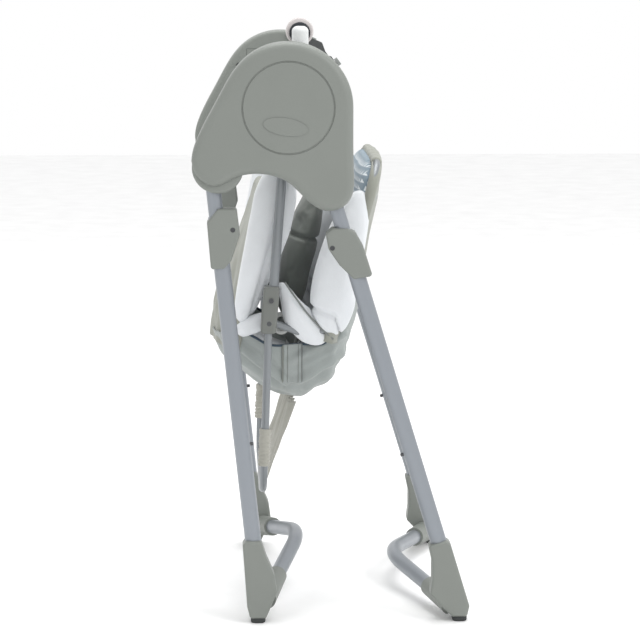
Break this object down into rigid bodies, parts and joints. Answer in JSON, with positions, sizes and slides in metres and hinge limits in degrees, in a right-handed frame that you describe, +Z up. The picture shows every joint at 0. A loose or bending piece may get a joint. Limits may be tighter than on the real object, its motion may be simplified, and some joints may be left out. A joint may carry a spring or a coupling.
{
  "type": "baby swing",
  "caption": "Folding A-frame baby swing with an electric drive, folded and standing, with its sling seat closed between the legs",
  "frame": {"origin": "middle of the bounding box on the floor", "axes": "+Z up; +Y towards the child's right, where the controls are; +X towards the rear legs, behind the child's back"},
  "size_m": [0.4517, 0.6104, 0.986],
  "materials": {
    "housing_grey": "satin moulded, warm grey-green",
    "joint_grey": "satin moulded",
    "tube_grey": "satin powder coat",
    "seat_tube_grey": "satin powder coat",
    "steel": "zinc plated",
    "bush_bronze": "sintered",
    "coil_copper": "enamelled wire",
    "inner_plastic": "fine texture",
    "cell_wrap": "plain wrap",
    "board_green": "solder mask",
    "key_grey": "soft key",
    "foot_rubber": "moulded",
    "band_rubber": "moulded",
    "post_white": "smooth",
    "cap_grey": "smooth",
    "seat_grey": "woven polyester",
    "seat_outer": "woven polyester",
    "seat_beige": "thin woven polyester",
    "plush_white": "short pile plush",
    "seat_print": "short pile plush over printed cloth"
  },
  "bodies": {
    "frame": {"left_outer_cover": "housing_grey", "right_outer_cover": "housing_grey", "left_inner_cover": "housing_grey", "right_inner_cover": "housing_grey", "frame_screws": "steel", "knuckle_pins": "steel", "axle_bushes": "bush_bronze", "battery_box": "inner_plastic", "battery_cells": "cell_wrap", "circuit_board": "board_green", "coil_bracket": "steel", "drive_coil": "coil_copper", "speaker": "inner_plastic", "dc_inlet": "inner_plastic", "control_pod": "inner_plastic", "rear_stub_tubes": "tube_grey", "rear_leg_tubes": "tube_grey", "rear_lower_tubes": "tube_grey", "rear_snap_pins": "steel", "rear_foot_pads": "foot_rubber", "rear_base_rail": "tube_grey", "left_rear_collar": "housing_grey", "right_rear_collar": "housing_grey", "left_rear_boot": "housing_grey", "right_rear_boot": "housing_grey"},
    "front_frame": {"front_knuckles": "housing_grey", "front_stub_tubes": "tube_grey", "front_leg_tubes": "tube_grey", "front_lower_tubes": "tube_grey", "front_snap_pins": "steel", "front_foot_pads": "foot_rubber", "front_base_rail": "tube_grey", "left_front_collar": "housing_grey", "right_front_collar": "housing_grey", "left_front_boot": "housing_grey", "right_front_boot": "housing_grey", "front_collar_screws": "steel"},
    "swing": {"left_swing_arm": "seat_tube_grey", "right_swing_arm": "seat_tube_grey", "swing_axles": "steel", "magnet_lever": "steel", "drive_magnet": "steel", "seat_joints": "joint_grey", "seat_joint_screws": "steel", "hoop_pins": "steel", "lower_hoop": "seat_tube_grey", "seat_bottom": "seat_grey", "calf_panel": "seat_beige"},
    "seat_back": {"head_hoop": "seat_tube_grey", "back_pad": "seat_print", "head_pillow": "plush_white"},
    "seat_front": {"foot_hoop": "seat_tube_grey", "foot_panel": "seat_outer"},
    "power_key": {"power_button": "key_grey"},
    "timer_key": {"timer_button": "key_grey"},
    "speed_knob": {"speed_dial": "key_grey"},
    "battery_lid": {"battery_door": "housing_grey"},
    "toy_arm": {"toy_post": "post_white", "toy_cap": "cap_grey", "toy_band": "band_rubber"}
  },
  "joints": [
    {"name": "front_fold", "type": "hinge", "parent": "frame", "child": "front_frame", "pos_m": [-0.185, 0, 0.75], "axis": [0, 1, 0], "range_deg": [0, 44]},
    {"name": "swing_hang", "type": "hinge", "parent": "frame", "child": "swing", "pos_m": [-0.072, 0, 0.846], "axis": [0, 1, 0], "range_deg": [-15, 20]},
    {"name": "back_recline", "type": "hinge", "parent": "swing", "child": "seat_back", "pos_m": [-0.1025, 0, 0.488], "axis": [0, 1, 0], "range_deg": [0, 20]},
    {"name": "front_unfold", "type": "hinge", "parent": "swing", "child": "seat_front", "pos_m": [-0.1025, 0, 0.488], "axis": [0, 1, 0], "range_deg": [-60, 0]},
    {"name": "power_press", "type": "slide", "parent": "frame", "child": "power_key", "axis": [-0.3919, 0, -0.92], "range_m": [0, 0.0015], "stiffness_N_per_m": 300},
    {"name": "timer_press", "type": "slide", "parent": "frame", "child": "timer_key", "axis": [-0.3919, 0, -0.92], "range_m": [0, 0.0015], "stiffness_N_per_m": 300},
    {"name": "speed_turn", "type": "hinge", "parent": "frame", "child": "speed_knob", "pos_m": [0.0275, 0.245, 0.8915], "axis": [0.8042, 0, 0.5944], "range_deg": [-135, 135]},
    {"name": "battery_lid_hinge", "type": "hinge", "parent": "frame", "child": "battery_lid", "pos_m": [-0.083, 0.239, 0.918], "axis": [-1, 0, 0], "range_deg": [0, 90]},
    {"name": "toy_swivel", "type": "hinge", "parent": "frame", "child": "toy_arm", "pos_m": [-0.051, -0.224, 0.92], "axis": [0, 0, 1], "range_deg": [-35, 35]}
  ]
}
